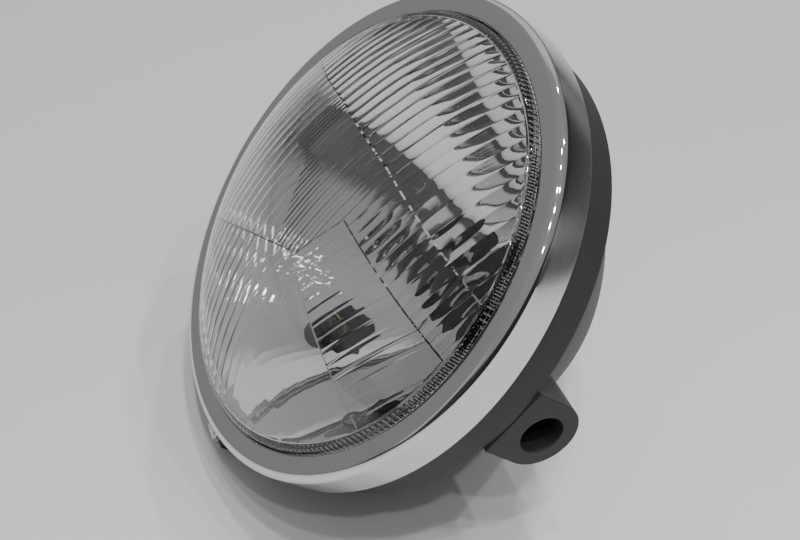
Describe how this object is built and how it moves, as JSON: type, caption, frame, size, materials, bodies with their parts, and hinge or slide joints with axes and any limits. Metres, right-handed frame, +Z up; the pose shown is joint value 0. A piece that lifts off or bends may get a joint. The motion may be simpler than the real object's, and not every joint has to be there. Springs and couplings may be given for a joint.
{
  "type": "motorcycle headlight",
  "caption": "Round motorcycle headlight: chrome rim, domed fluted glass lens, mirror reflector and bulb, in a black plastic bucket with bored side ears.",
  "frame": {"origin": "where the lamp's optical axis crosses the common axis of the two ear bores", "axes": "+X along the ear axis to the lamp's left-hand ear as seen from behind it, which is the ear in the picture; the lens faces -Y; +Z is up in use"},
  "size_m": [0.19, 0.1335, 0.2017],
  "materials": {
    "bucket_plastic": "matt charcoal-black moulded plastic with a fine grain",
    "rim_chrome": "bright chrome plating on pressed steel",
    "lens_glass": "clear pressed glass with fluted bands",
    "reflector_mirror": "vacuum-coated mirror inside, grey lacquer behind",
    "bulb_glass": "thin clear glass",
    "bulb_metal": "nickel-plated steel",
    "zinc_steel": "zinc-plated steel, faintly yellow",
    "spring_steel": "plain spring steel",
    "terminal_brass": "tinned brass",
    "rubber": "soft black rubber",
    "sealant": "dark grey sealant",
    "insulator_plastic": "dark heat-proof plastic",
    "tungsten": "dull grey wire"
  },
  "bodies": {
    "bucket": {"bucket": "bucket_plastic", "cable_grommet": "rubber", "sheet_nut": "zinc_steel"},
    "front": {"rim": "rim_chrome", "rim_hook": "spring_steel", "rim_screw": "zinc_steel", "unit_clips": "spring_steel", "unit_ring": "spring_steel", "lens": "lens_glass", "lens_gasket": "rubber", "lens_seal": "sealant", "reflector": "reflector_mirror", "bulb_seat": "zinc_steel", "bulb_flange": "bulb_metal", "bulb_shell": "bulb_metal", "bulb_insulator": "insulator_plastic", "bulb_terminals": "terminal_brass", "bulb_glass": "bulb_glass", "bulb_shield": "bulb_metal", "bulb_filaments": "tungsten", "bulb_supports": "bulb_metal", "bulb_boot": "rubber", "pilot_grommet": "rubber", "pilot_socket": "terminal_brass", "pilot_bulb": "bulb_glass"},
    "collar": {"bulb_collar": "zinc_steel"}
  },
  "joints": [
    {"name": "front_swing", "type": "hinge", "parent": "bucket", "child": "front", "pos_m": [0, -0.033, 0.09], "axis": [-1, 0, 0], "range_deg": [0, 40]},
    {"name": "collar_turn", "type": "hinge", "parent": "front", "child": "collar", "pos_m": [0, 0.026, 0], "axis": [0, -1, 0], "range_deg": [0, 30]}
  ]
}
